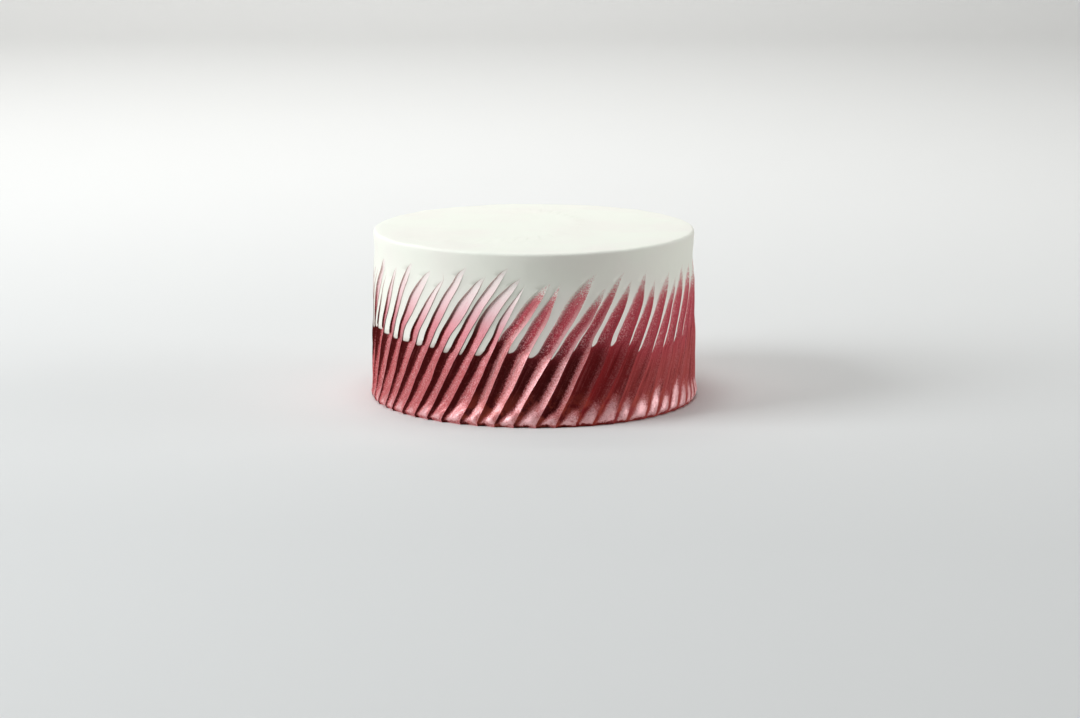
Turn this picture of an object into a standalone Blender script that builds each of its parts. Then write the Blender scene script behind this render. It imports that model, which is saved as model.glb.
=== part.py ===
"""Round layer cake, whole and uncut, frosted white with a band of slanting palette-knife strokes.

The cake is one closed solid with its flat base on the ground and its axis on Z. The strokes stand
side by side all round the wall. Each starts at the foot, leans to the right as it climbs and ends
in a leaf-shaped tip. Its section is a trough that rises to a sharp crest on its right-hand edge,
with a steep drop behind the crest. Above the band, bare slots of wall stand between the leaves.

Azimuths are degrees seen from above: 0 faces the front (-Y), and they grow towards +X.
"""

import math
import random
from collections import namedtuple

import bmesh
import bpy

MM = 0.001

# Driving dimensions of the cake
WALL_RADIUS = 92.4 * MM
HEIGHT = 97.5 * MM
RIM_ROUND = 2.8 * MM

# Driving dimensions of the knife strokes
CREST_RISE = 1.4 * MM
TROUGH_DEPTH = 1.6 * MM
FOOT_HEIGHT = 2.0 * MM
BAND_HEIGHT = 42.0 * MM
FOOT_BULGE = 0.4 * MM
FOOT_BULGE_TOP = 9.0 * MM
BASE_TUCK = 0.8 * MM
SLOT_END_ROUND = 2.5 * MM
TIP_FADE = 9.0 * MM

# The drop behind a crest and the bare slot, as shares of the width from one crest to the next
DROP_SHARE = 0.10
CLOSED_SLOT_SHARE = 0.15
LEAST_LEAF_SHARE = 0.12
MOST_LEAF_SHARE = 0.80

# A leaf narrows a little as it climbs, then rounds off to its tip, and its crest gets lower
LEAF_NARROWING = 0.15
LEAF_TIP_POWER = 5
CREST_LOWERING = 0.35

# The section of a leaf: where its trough and flank lie across it, and their levels as shares of
# the depth. Below a slot the drop runs on down to the trough in two steps.
TROUGH_AT = 0.22
FLANK_AT = 0.62
FLANK_LEVEL = 0.42
DROP_LEVEL = 0.5
EDGE_LEVEL = 0.8
TROUGH_BULGE = 0.5

# One knife stroke. Crest, foot and tip are azimuths of its right-hand edge at the top of the band,
# at the foot and at the tip. Slot is the width of bare wall on its left, in degrees.
Stroke = namedtuple("Stroke", "crest foot tip tip_mm slot slot_floor_mm")

FRONT_STROKES = (
    Stroke(-71.2, -82.5, -63.5, 78.0, 1.4, 43.0),
    Stroke(-65.3, -76.0, -57.0, 82.0, 1.8, 43.5),
    Stroke(-58.5, -69.5, -47.3, 87.0, 2.6, 42.7),
    Stroke(-52.3, -63.7, -38.0, 84.5, 1.8, 42.0),
    Stroke(-45.2, -57.0, -32.5, 80.0, 2.3, 41.8),
    Stroke(-38.0, -50.5, -23.5, 88.0, 2.0, 42.0),
    Stroke(-32.0, -44.0, -17.0, 83.5, 1.2, 41.5),
    Stroke(-26.0, -38.5, -8.5, 89.0, 0.9, 39.5),
    Stroke(-20.3, -32.0, -4.0, 83.5, 0.9, 39.0),
    Stroke(-14.0, -25.3, -2.9, 80.0, 1.7, 39.5),
    Stroke(-8.5, -19.5, 5.0, 81.0, 0.0, 52.0),
    Stroke(-1.2, -13.5, 9.5, 81.0, 2.7, 42.3),
    Stroke(7.0, -6.3, 22.5, 85.5, 1.7, 39.5),
    Stroke(12.8, 0.3, 26.0, 77.5, 0.9, 38.5),
    Stroke(20.0, 6.8, 33.5, 84.5, 0.6, 42.5),
    Stroke(26.8, 15.0, 36.5, 80.0, 2.3, 44.5),
    Stroke(34.5, 21.0, 43.3, 84.0, 2.0, 44.0),
    Stroke(38.4, 28.5, 47.5, 78.0, 0.9, 43.0),
    Stroke(45.2, 33.5, 56.5, 81.0, 0.7, 38.5),
    Stroke(50.6, 42.0, 60.0, 75.0, 0.6, 36.0),
    Stroke(57.2, 47.0, 67.0, 83.0, 0.6, 38.5),
    Stroke(63.5, 53.5, 75.0, 82.0, 0.6, 40.0),
)

# The rest of the ring follows the same habits, drawn by a seeded generator
BACK_STROKE_COUNT = 34
BACK_SEED = 7
CREST_WANDER = 0.9
FOOT_LEAN = (11.0, 13.0)
TIP_LEAN = (9.5, 15.5)
TIP_HEIGHT_MM = (77.0, 88.0)
SLOT_WIDTH = (0.6, 2.4)
SLOT_FLOOR_MM = (38.5, 44.0)
LEAST_GAP = 0.9

# Heights of the mesh rings on the wall, from the base to the start of the rim's round
WALL_RINGS_MM = (
    0.0, 1.6, 6.0, 13.0, 21.0, 29.0, 37.0, 43.0, 50.0, 57.0, 64.0, 71.0, 78.0, 85.0, 90.0, 94.7,
)
RIM_STEPS = 2
RING_MARK = 0.1 * MM
POLE_RADIUS = 1.0 * MM
MERGE_DISTANCE = 0.01 * MM
SMOOTH_BELOW = math.radians(35.0)

# Columns of mesh in a stroke: crest, foot of the drop, edge of the leaf, trough and flank
LEAF_COLUMN = 2

WHITE_FROSTING = (0.87, 0.87, 0.83, 1.0)
WHITE_ROUGHNESS = 0.55
RED_FROSTING = (0.40, 0.07, 0.09, 1.0)
RED_ROUGHNESS = 0.40
RED_METALLIC = 0.5


def smooth_step(low, high, value):
    """Ease from 0 at low to 1 at high."""
    share = min(max((value - low) / (high - low), 0.0), 1.0)
    return share * share * (3.0 - 2.0 * share)


def all_strokes():
    """Return every stroke of the ring, in order of azimuth."""
    draw = random.Random(BACK_SEED)
    first = FRONT_STROKES[0]
    last = FRONT_STROKES[-1]
    pitch = (first.crest + 360.0 - last.crest) / (BACK_STROKE_COUNT + 1)
    strokes = list(FRONT_STROKES)
    for number in range(1, BACK_STROKE_COUNT + 1):
        crest = last.crest + number * pitch + draw.uniform(-CREST_WANDER, CREST_WANDER)
        strokes.append(Stroke(
            crest,
            crest - draw.uniform(*FOOT_LEAN),
            crest + draw.uniform(*TIP_LEAN),
            draw.uniform(*TIP_HEIGHT_MM),
            draw.uniform(*SLOT_WIDTH),
            draw.uniform(*SLOT_FLOOR_MM),
        ))
    return strokes


def crest_azimuth(stroke, height):
    """Azimuth of a stroke's crest: a parabola through its foot, its band point and its tip."""
    low, middle, high = FOOT_HEIGHT, BAND_HEIGHT, stroke.tip_mm * MM
    level = min(height, high)
    along_foot = (level - middle) * (level - high) / ((low - middle) * (low - high))
    along_band = (level - low) * (level - high) / ((middle - low) * (middle - high))
    along_tip = (level - low) * (level - middle) / ((high - low) * (high - middle))
    return stroke.foot * along_foot + stroke.crest * along_band + stroke.tip * along_tip


def crest_ring(strokes, height):
    """Azimuths of all the crests at a height, kept apart where tips lean towards each other."""
    crests = [crest_azimuth(stroke, height) for stroke in strokes]
    for number in range(1, len(crests)):
        crests[number] = max(crests[number], crests[number - 1] + LEAST_GAP)
    return crests


def climb_of(stroke, height):
    """How far up its leaf a height is: 0 at the floor of the slot beside it, 1 at its tip."""
    climb = (height / MM - stroke.slot_floor_mm) / (stroke.tip_mm - stroke.slot_floor_mm)
    return min(max(climb, 0.0), 1.0)


def slot_at(stroke, height, width):
    """Return how far the slot on the stroke's left is open, 0 to 1, and its share of the width."""
    floor = stroke.slot_floor_mm * MM
    opened = smooth_step(floor, floor + SLOT_END_ROUND, height)
    climb = climb_of(stroke, height)
    leaf_size = math.sqrt(1.0 - climb ** LEAF_TIP_POWER) * (1.0 - LEAF_NARROWING * climb)
    leaf_share = (1.0 - stroke.slot / width) * leaf_size
    leaf_share = min(max(leaf_share, LEAST_LEAF_SHARE), MOST_LEAF_SHARE)
    return opened, CLOSED_SLOT_SHARE * (1.0 - opened) + (1.0 - leaf_share) * opened


def crest_and_trough(stroke, height):
    """Return the crest's rise above the wall and the trough's depth below it, faded at the tip."""
    tip = stroke.tip_mm * MM
    fade = smooth_step(tip, tip - TIP_FADE, height)
    rise = CREST_RISE * (1.0 - CREST_LOWERING * climb_of(stroke, height))
    return rise * fade, TROUGH_DEPTH * fade


def relief_at(strokes, height):
    """Return (azimuth, offset from the wall) for each mesh column at a height."""
    crests = crest_ring(strokes, height)
    bulge = FOOT_BULGE * smooth_step(FOOT_BULGE_TOP, FOOT_HEIGHT, height)
    bulge -= BASE_TUCK * smooth_step(FOOT_HEIGHT, 0.0, height)
    columns = []
    for number, stroke in enumerate(strokes):
        left = crests[number - 1] - (360.0 if number == 0 else 0.0)
        width = crests[number] - left
        left_rise, _ = crest_and_trough(strokes[number - 1], height)
        rise, depth = crest_and_trough(stroke, height)
        opened, slot = slot_at(stroke, height, width)
        leaf = 1.0 - slot
        section = (
            (0.0, left_rise + bulge),
            (DROP_SHARE, -DROP_LEVEL * depth * (1.0 - opened)),
            (slot, -EDGE_LEVEL * depth * (1.0 - opened)),
            (slot + leaf * TROUGH_AT, TROUGH_BULGE * bulge - depth),
            (slot + leaf * FLANK_AT, FLANK_LEVEL * (depth + rise) + bulge - depth),
        )
        columns += [(left + width * share, offset) for share, offset in section]
    return columns


def place_ring(strokes, height, inset, plain):
    """Return the points of one ring. Plain blends its columns from the strokes to even steps."""
    relief = relief_at(strokes, height)
    start = relief[0][0]
    points = []
    for number, (azimuth, offset) in enumerate(relief):
        even = start + 360.0 * number / len(relief)
        turn = math.radians(azimuth * (1.0 - plain) + even * plain)
        radius = WALL_RADIUS + offset * (1.0 - plain) - inset
        points.append((radius * math.sin(turn), -radius * math.cos(turn), height))
    return points


def cake_rings(strokes):
    """Return every ring of the cake's outside, from the base edge to the inner edge of the rim."""
    rim_start = WALL_RINGS_MM[-1] * MM
    last_tip = max(stroke.tip_mm for stroke in strokes) * MM
    rings = []
    for ring_mm in WALL_RINGS_MM:
        height = ring_mm * MM
        rings.append(place_ring(strokes, height, 0.0, smooth_step(last_tip, rim_start, height)))
    for step in range(1, RIM_STEPS + 1):
        turn = 0.5 * math.pi * step / RIM_STEPS
        height = rim_start + (HEIGHT - rim_start) * math.sin(turn)
        rings.append(place_ring(strokes, height, RIM_ROUND * (1.0 - math.cos(turn)), 1.0))
    return rings


def is_red(stroke, column, height):
    """Whether the patch to the right of a stroke's column is red at a height."""
    in_band = height < stroke.slot_floor_mm * MM
    in_leaf = column >= LEAF_COLUMN and height < stroke.tip_mm * MM
    return in_band or in_leaf


def build_mesh(name, strokes, rings):
    """Spin a plain profile into a closed body, then move each of its rings to its own points.

    Each ring of the profile is a little narrower than the one below it, which marks its number.
    """
    count = len(rings[0])
    step = 2.0 * math.pi / count
    shape = bmesh.new()
    profile = [(0.0, 0.0, 0.0)]
    profile += [(WALL_RADIUS - number * RING_MARK, 0.0, ring[0][2]) for number, ring in enumerate(rings)]
    profile.append((0.0, 0.0, HEIGHT))
    verts = [shape.verts.new(point) for point in profile]
    edges = [shape.edges.new(pair) for pair in zip(verts, verts[1:])]
    bmesh.ops.spin(
        shape, geom=verts + edges, cent=(0.0, 0.0, 0.0), axis=(0.0, 0.0, 1.0),
        angle=2.0 * math.pi, steps=count, use_merge=True,
    )
    bmesh.ops.remove_doubles(shape, verts=shape.verts, dist=MERGE_DISTANCE)
    shape.normal_update()
    bmesh.ops.recalc_face_normals(shape, faces=shape.faces)
    for face in shape.faces:
        middle = face.calc_center_median()
        column = int(math.atan2(middle.y, middle.x) / step) % count
        if middle.y < 0.0:
            column = count - 1 - int(-math.atan2(middle.y, middle.x) / step)
        stroke, place = divmod(column, count // len(strokes))
        base = middle.z < MERGE_DISTANCE
        face.material_index = 1 if base or is_red(strokes[stroke], place, middle.z) else 0
    for vert in shape.verts:
        radius = math.hypot(vert.co.x, vert.co.y)
        if radius < POLE_RADIUS:
            continue
        ring = round((WALL_RADIUS - radius) / RING_MARK)
        column = round(math.atan2(vert.co.y, vert.co.x) / step) % count
        vert.co = rings[ring][column]
    bmesh.ops.triangulate(shape, faces=shape.faces)
    mesh = bpy.data.meshes.new(name)
    shape.to_mesh(mesh)
    shape.free()
    mesh.shade_smooth()
    mesh.set_sharp_from_angle(angle=SMOOTH_BELOW)
    return mesh


def frosting_material(name, colour, roughness, metallic):
    """Make one plain frosting material."""
    material = bpy.data.materials.new(name)
    material.use_nodes = True
    shader = material.node_tree.nodes["Principled BSDF"]
    shader.inputs["Base Color"].default_value = colour
    shader.inputs["Roughness"].default_value = roughness
    shader.inputs["Metallic"].default_value = metallic
    return material


def main():
    for item in list(bpy.data.objects):
        bpy.data.objects.remove(item, do_unlink=True)
    strokes = all_strokes()
    mesh = build_mesh("frosted_cake", strokes, cake_rings(strokes))
    mesh.materials.append(frosting_material("white_frosting", WHITE_FROSTING, WHITE_ROUGHNESS, 0.0))
    mesh.materials.append(
        frosting_material("red_pearl_frosting", RED_FROSTING, RED_ROUGHNESS, RED_METALLIC)
    )
    cake = bpy.data.objects.new("frosted_cake", mesh)
    bpy.context.scene.collection.objects.link(cake)


main()
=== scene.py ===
"""Looks of a round layer cake: white frosting with a band of slanting red pearl knife strokes.

The file is laid out as an add-on. Each operator makes one thing: the frosting that replaces the
plain solid, and the studio that it stands in. Azimuths are degrees seen from above: 0 faces the
front (-Y), and they grow towards +X.
"""

import math
import random
from collections import namedtuple

import bmesh
import bpy
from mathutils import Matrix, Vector, noise


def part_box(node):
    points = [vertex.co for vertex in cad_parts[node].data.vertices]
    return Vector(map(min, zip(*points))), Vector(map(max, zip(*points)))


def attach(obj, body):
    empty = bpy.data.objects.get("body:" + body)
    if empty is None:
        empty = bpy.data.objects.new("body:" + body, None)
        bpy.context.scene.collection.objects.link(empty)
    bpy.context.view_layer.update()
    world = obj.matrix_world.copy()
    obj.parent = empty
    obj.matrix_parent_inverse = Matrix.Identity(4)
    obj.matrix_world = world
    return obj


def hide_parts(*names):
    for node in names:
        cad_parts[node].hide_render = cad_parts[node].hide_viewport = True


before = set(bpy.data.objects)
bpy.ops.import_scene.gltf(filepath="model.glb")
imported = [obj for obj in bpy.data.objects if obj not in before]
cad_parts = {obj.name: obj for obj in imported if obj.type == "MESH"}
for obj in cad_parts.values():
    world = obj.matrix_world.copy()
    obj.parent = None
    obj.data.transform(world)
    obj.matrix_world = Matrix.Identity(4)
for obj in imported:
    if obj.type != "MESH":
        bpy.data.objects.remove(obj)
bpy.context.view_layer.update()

CAKE_NODE = "frosted_cake"
CAKE_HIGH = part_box(CAKE_NODE)[1]

bl_info = {
    "name": "Knife-Stroke Layer Cake",
    "version": (1, 0, 0),
    "blender": (4, 5, 0),
    "location": "View3D > Sidebar > Cake",
    "description": "Builds a frosted layer cake with palette-knife strokes, and a plain studio",
    "category": "Object",
}

MM = 0.001

# One knife stroke. The first six numbers are azimuths of its right-hand edge, from its foot through
# the band and the bow above the slot's floor to its tip. Slot and high slot are the widths of bare
# wall on its left, near the slot's floor and half-way up, in degrees.
Stroke = namedtuple("Stroke", "foot low band bow leaf tip tip_mm slot high_slot slot_floor_mm")
CREST_HEIGHTS = (2.0 * MM, 22.0 * MM, 42.0 * MM, 50.0 * MM, 58.0 * MM)

FRONT_STROKES = (
    Stroke(-83.0, -77.4, -73.6, -72.2, -69.9, -65.5, 77.0, 1.8, 1.8, 43.0),
    Stroke(-76.5, -71.0, -66.6, -64.9, -62.0, -57.5, 82.0, 3.4, 3.8, 43.5),
    Stroke(-70.6, -64.1, -59.0, -57.3, -55.2, -47.6, 87.0, 3.6, 3.2, 42.7),
    Stroke(-63.6, -57.1, -52.5, -51.1, -47.5, -38.0, 84.5, 2.4, 3.0, 42.0),
    Stroke(-58.5, -51.5, -45.2, -43.2, -40.1, -33.2, 80.0, 3.5, 2.9, 41.8),
    Stroke(-51.8, -44.9, -38.6, -36.3, -33.5, -23.5, 88.0, 2.8, 2.1, 41.5),
    Stroke(-45.2, -38.0, -32.4, -29.7, -25.9, -17.0, 83.5, 2.0, 2.2, 41.2),
    Stroke(-39.2, -32.5, -25.8, -23.2, -20.4, -8.5, 89.0, 2.3, 1.0, 39.8),
    Stroke(-33.0, -26.0, -20.1, -17.4, -14.6, -4.0, 83.5, 1.3, 0.3, 39.5),
    Stroke(-25.8, -19.5, -14.1, -11.9, -9.4, -3.0, 79.5, 2.7, 1.6, 39.5),
    Stroke(-19.4, -14.2, -9.0, -6.4, -2.7, 6.2, 81.0, 0.3, 1.8, 48.0),
    Stroke(-13.4, -7.0, -1.3, 1.3, 4.1, 9.5, 81.0, 2.4, 1.0, 42.0),
    Stroke(-6.8, -0.3, 6.9, 10.1, 13.2, 22.5, 85.5, 2.9, 2.8, 39.5),
    Stroke(0.8, 7.2, 13.2, 16.2, 19.6, 26.3, 77.5, 0.9, 1.3, 38.5),
    Stroke(7.4, 13.5, 19.3, 21.3, 24.1, 33.2, 84.5, 0.6, 0.1, 42.5),
    Stroke(14.3, 20.6, 26.5, 28.3, 31.0, 36.5, 80.0, 1.9, 1.6, 44.5),
    Stroke(20.2, 27.8, 34.3, 36.4, 38.9, 43.3, 84.0, 2.2, 2.0, 44.0),
    Stroke(28.2, 33.6, 39.4, 42.0, 44.3, 47.8, 78.0, 1.0, 1.3, 43.0),
    Stroke(33.0, 39.8, 46.4, 48.9, 50.9, 56.5, 81.0, 1.5, 1.7, 39.0),
    Stroke(41.3, 47.0, 52.0, 54.4, 56.2, 61.0, 77.0, 1.1, 1.8, 37.0),
    Stroke(46.6, 52.8, 58.3, 60.6, 62.6, 67.0, 83.0, 1.4, 0.8, 38.5),
    Stroke(53.2, 58.6, 64.5, 67.0, 69.5, 75.0, 82.0, 1.8, 2.0, 39.5),
)

# The rest of the ring follows the same habits, drawn by a seeded generator
BACK_STROKE_COUNT = 34
BACK_SEED = 7
CREST_WANDER = 0.9
FOOT_LEAN = (11.0, 13.0)
TIP_LEAN = (9.5, 15.5)
TIP_HEIGHT_MM = (77.0, 88.0)
SLOT_WIDTH = (0.6, 2.4)
SLOT_FLOOR_MM = (38.5, 44.0)
BACK_BOW = 0.14
BACK_LEAF = 0.36
LEAST_GAP = 0.9

# A crest wanders by this many degrees, over this many millimetres of height, each in its own way
WOBBLE = 0.22
WOBBLE_WAVE_MM = 9.0
WOBBLE_APART = 7.3

TIP_FADE = 9.0 * MM
PARTING = 8.0 * MM
OPENING = 3.0 * MM
RIGHT_SHALLOWING = 0.5

# A leaf narrows a little as it climbs, then rounds off to its tip, and its relief gets lower
LEAF_NARROWING = 0.06
SLOT_LEVELS = (50.0 * MM, 61.0 * MM)
LEAF_TIP_POWERS = (4.0, 0.75)
LEAST_LEAF_SHARE = 0.07
MOST_LEAF_SHARE = 0.93
MOST_DROP_SHARE = 0.4
CREST_LOWERING = 0.52
CREST_EASE = 7.0 * MM
FULL_LEAF_WIDTH = 8.0 * MM

# Mesh columns of one stroke. Where the slot is shut they cross one hollow from crest to crest.
# Where it is open, the first five cross the drop and the bare slot, and the rest cross the leaf.
SHUT_SHARES = (0.0, 0.025, 0.07, 0.14, 0.22, 0.32, 0.43, 0.54, 0.65, 0.76, 0.86, 0.95)
OPEN_DROP_MM = (0.0, 0.22, 0.5)
OPEN_DROP_LEVELS = (1.0, 0.62, 0.48, 0.26, 0.0)
SLOT_ACROSS = (-1.0, -0.9, -0.75, -0.4, 0.0)
LEAF_ACROSS = (0.06, 0.15, 0.27, 0.42, 0.58, 0.76, 0.92)
ACROSS = SLOT_ACROSS + LEAF_ACROSS
COLUMNS_PER_STROKE = len(SHUT_SHARES)
HOLLOW_SKEW = 0.85
LEAF_SKEW = 0.40

# Mesh rings up the wall, round the rim and over the top
FOOT_ZONE = 10.0 * MM
LEAF_ZONE = 89.5 * MM
FOOT_RINGS = 16
LEAF_RINGS = 96
PLAIN_RINGS = 4
RIM_RINGS = 6
TOP_RINGS = 20
MERGE_DISTANCE = 0.01 * MM
SMOOTH_BELOW = math.radians(50.0)

# The wall draws in a little under the rim, and is nowhere quite round
WAIST_HEIGHT = 81.0 * MM
WAIST_SPREAD = 10.0 * MM
SWAY = 0.28 * MM
SWAY_WAVE = 0.35
SWAY_HEIGHT = 100.0 * MM

# The foot of the strokes flares out over the base, and a thin lip of frosting runs under it
FLARE_LOW = 1.5 * MM
FLARE_TOP = 12.0 * MM
FOOT_SKEW = (1.8, 1.1)
BULGE_RISE = (0.6 * MM, 3.2 * MM)
BULGE_FADE = (15.6 * MM, 4.2 * MM)
BULGE_SECTION_POWER = 1.2
FULLY_SKEWED_RED = 0.6
BASE_TUCK = 0.9 * MM
TUCK_TOP = 1.6 * MM
LIP_TOP = 2.6 * MM
LIP_SHELF = -0.2 * MM
RAGGED = 0.25 * MM
RAGGED_FADE = (4.0 * MM, 9.0 * MM)
RAGGED_TURNS = 60.0
RAGGED_WAVE = 4.0

# How the paint changes round the ring, in azimuths: where leaves turn grainy, where hollows turn red, where
# the painted lit part of a stroke starts (azimuth, share of its width), and how the back eases. The painted
# lit part narrows as the strokes turn away from the key light.
DRY_FROM = (-13.0, -9.0)
RED_FROM = (12.0, 66.0)
LIT_FROM = (
    (-120.0, 0.08),
    (-74.0, 0.10),
    (-50.0, 0.19),
    (-30.0, 0.31),
    (-8.0, 0.45),
    (5.0, 0.63),
    (24.0, 0.78),
    (60.0, 0.82),
)
BACK_TURN = (150.0, 225.0)

# Faint spatula marks on the top: centre x and y, radius, step height, all in millimetres
SPATULA_MARKS = (
    (-36.0, 14.0, 64.0, 0.40),
    (30.0, -28.0, 88.0, 0.25),
    (-20.0, 40.0, 96.0, -0.25),
)
MARK_FADE = 15.0 * MM
MARK_EDGE = 0.8 * MM

# Gentle swells of the top, and the rim's uneven edge: height and length of each wave
TOP_SWELL, TOP_WAVE = 0.28 * MM, 26.0 * MM
RIM_SWELL, RIM_WAVE = 0.30 * MM, 14.0 * MM
RIM_RIPPLE, RIM_RIPPLE_WAVE = 0.5, 5.0 * MM
TOP_EDGE_SHARE = 0.9

# Grains of the paint and the frosting: scale per metre, detail and roughness
DUST = (1500.0, 2.0, 0.75)
SPECK = (800.0, 3.0, 0.6)
BLOTCH = (420.0, 3.0, 0.6)
PATCH = (160.0, 3.0, 0.55)
CLOUD = (28.0, 2.0, 0.55)
PAPER_CLOUD = (1.5, 2.0, 0.55)
PAPER_TOOTH = (700.0, 2.0, 0.55)

# Streaks run along a stroke: how often across its hollow and up the wall, and how far from stroke
# to stroke the pattern jumps
STREAK = (1.0, 4.0, 0.65)
STREAKS_ACROSS, STREAKS_UP, STREAK_JUMP = 9.0, 38.0, 37.0

# What the shader knows of a place: where it lies on its stroke, the stroke's own marks, its height,
# and the grains, which swing about 0. Across runs from -1 over a slot to 0 and over a leaf to 1,
# climb from 0 at the slot's floor to 1 at the leaf's tip.
Spot = namedtuple(
    "Spot", "across scoop climb on_leaf tone dry lit_from red height dust speck blotch patch cloud",
)
LEAF_START = (-0.02, 0.12)

# Paint: how soft the edges of band, leaf and tip are, and what keeps a dry leaf covered
SLOT_ROUNDING = 0.04
BAND_EDGE = (0.012, -0.012)
LEAF_EDGE = (-0.06, 0.02)
TIP_EDGE = (1.02, 0.94)
COVER_EDGE = (0.08, 0.54)

# Pearl and painted highlight at the foot: how high it reaches, what a stroke's tone and redness add, and
# the bare lip
FOOT_REACH = 9.0 * MM
FOOT_TONE_REACH = 9.0 * MM
FOOT_RED_REACH = 7.0 * MM
FOOT_MIDDLE = 0.52
PEARL_LIP = (0.6 * MM, 2.6 * MM)
LIP_PATCH = 4.0 * MM
LIP_BLOTCH = 3.0 * MM
EMBER_FADE = (24.0 * MM, 6.0 * MM)

# Heights of the bumps: frosting, streaks and dust
PATCH_BUMP, STREAK_BUMP, DUST_BUMP = 0.4 * MM, 0.3 * MM, 0.16 * MM

# The sweep's profile, the lights (azimuth, elevation, distance) and the camera, in metres
SWEEP_NEAR, SWEEP_FAR, SWEEP_CURVE, SWEEP_TOP, SWEEP_HALF = -3.0, 2.2, 0.8, 3.0, 4.0
SWEEP_STEPS = 12
KEY_FROM = (-73.0, 30.0, 2.4)
FILL_FROM = (88.0, 14.0, 2.4)
TOP_FROM = (-30.0, 84.0, 2.2)
BACKDROP_FROM = (-0.5, 0.9, 1.9)
BACKDROP_AT = (-0.3, 3.0, 0.6)
SIDE_SIZE, TOP_SIZE, BACKDROP_SIZE = 1.2, 1.0, 1.5
KEY_COLOUR = (0.92, 0.96, 1.0)
FILL_COLOUR = (0.97, 0.98, 1.0)
TOP_COLOUR = (0.95, 0.98, 1.0)
BACKDROP_COLOUR = (1.0, 1.0, 1.0)
ROOM_COLOUR = (0.93, 0.95, 0.93, 1.0)
CAMERA_PLACE = (0.00354, -1.6901, 0.36524)
CAMERA_TILT = math.radians(78.455)
SENSOR_WIDTH_MM = 36.0


def ease(low, high, value):
    """Ease from 0 at low to 1 at high."""
    share = min(max((value - low) / (high - low), 0.0), 1.0)
    return share * share * (3.0 - 2.0 * share)


def mix(first, second, share):
    """The value a share of the way from first to second."""
    return first + (second - first) * share


def unevenness(x, y, z, wave):
    """Smooth noise between about -1 and 1 that changes over a wave's length."""
    return noise.noise(Vector((x / wave, y / wave, z / wave)))


def all_strokes():
    """Return every stroke of the ring, in order of azimuth."""
    draw = random.Random(BACK_SEED)
    first = FRONT_STROKES[0]
    last = FRONT_STROKES[-1]
    pitch = (first.band + 360.0 - last.band) / (BACK_STROKE_COUNT + 1)
    strokes = list(FRONT_STROKES)
    for number in range(1, BACK_STROKE_COUNT + 1):
        band = last.band + number * pitch + draw.uniform(-CREST_WANDER, CREST_WANDER)
        foot_lean, tip_lean = draw.uniform(*FOOT_LEAN), draw.uniform(*TIP_LEAN)
        strokes.append(Stroke(
            band - foot_lean,
            band - 0.5 * foot_lean,
            band,
            band + BACK_BOW * tip_lean,
            band + BACK_LEAF * tip_lean,
            band + tip_lean,
            draw.uniform(*TIP_HEIGHT_MM),
            draw.uniform(*SLOT_WIDTH),
            draw.uniform(*SLOT_WIDTH),
            draw.uniform(*SLOT_FLOOR_MM),
        ))
    return strokes


def crest_azimuth(stroke, height):
    """Azimuth of a stroke's crest: a smooth curve through its six measured places."""
    heights = CREST_HEIGHTS + (stroke.tip_mm * MM,)
    level = min(max(height, heights[0]), heights[-1])
    steps = [above - below for below, above in zip(heights, heights[1:])]
    slopes = [(stroke[place + 1] - stroke[place]) / step for place, step in enumerate(steps)]
    leans = [slopes[0]]
    for place in range(1, len(steps)):
        below, above = steps[place - 1], steps[place]
        leans.append((slopes[place - 1] * above + slopes[place] * below) / (below + above))
    leans.append(slopes[-1])
    place = max(number for number in range(len(steps)) if level >= heights[number])
    step = steps[place]
    share = (level - heights[place]) / step
    bulge = leans[place] * (1.0 - share) ** 2 * share - leans[place + 1] * share ** 2 * (1.0 - share)
    return mix(stroke[place], stroke[place + 1], ease(0.0, 1.0, share)) + bulge * step


def crest_ring(strokes, height):
    """Azimuths of all the crests at a height, kept apart where tips lean towards each other."""
    crests = []
    for number, stroke in enumerate(strokes):
        wobble = WOBBLE * unevenness(number * WOBBLE_APART, 0.0, height / MM, WOBBLE_WAVE_MM)
        crests.append(crest_azimuth(stroke, height) + wobble)
    for number in range(1, len(crests)):
        crests[number] = max(crests[number], crests[number - 1] + LEAST_GAP)
    limit = crests[0] + 360.0
    for number in range(len(crests) - 1, 0, -1):
        crests[number] = min(crests[number], limit - LEAST_GAP)
        limit = crests[number]
    return crests


def climb_of(stroke, height):
    """How far up its leaf a height is: 0 at the floor of the slot beside it, 1 at its tip."""
    return (height / MM - stroke.slot_floor_mm) / (stroke.tip_mm - stroke.slot_floor_mm)


def leaf_share_of(stroke, height, width):
    """The share of the width between two crests that the stroke's leaf takes."""
    climb = min(max(climb_of(stroke, height), 0.0), 1.0)
    first, second = LEAF_TIP_POWERS
    size = (1.0 - climb ** first) ** second * (1.0 - LEAF_NARROWING * climb)
    slot = mix(stroke.slot, stroke.high_slot, ease(*SLOT_LEVELS, height))
    share = (1.0 - slot / width) * size
    return min(max(share, LEAST_LEAF_SHARE), MOST_LEAF_SHARE)


def redness(stroke):
    """How far a stroke's hollow is red rather than painted maroon shade, which grows towards the right."""
    return ease(*RED_FROM, stroke.band) * (1.0 - ease(*BACK_TURN, stroke.band))


def crest_rise(design, stroke, height):
    """How far a stroke's crest stands out of the wall at a height."""
    floor, tip = stroke.slot_floor_mm * MM, stroke.tip_mm * MM
    lowering = CREST_LOWERING * ease(floor - CREST_EASE, floor + CREST_EASE, height)
    return design.crest_rise * (1.0 - lowering) * ease(tip, tip - TIP_FADE, height)


def hollow(share, skew):
    """Section of a scooped hollow: 0 at both edges and 1 at its deepest, left of middle for a low skew."""
    place = share ** skew
    return 4.0 * place * (1.0 - place)


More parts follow.
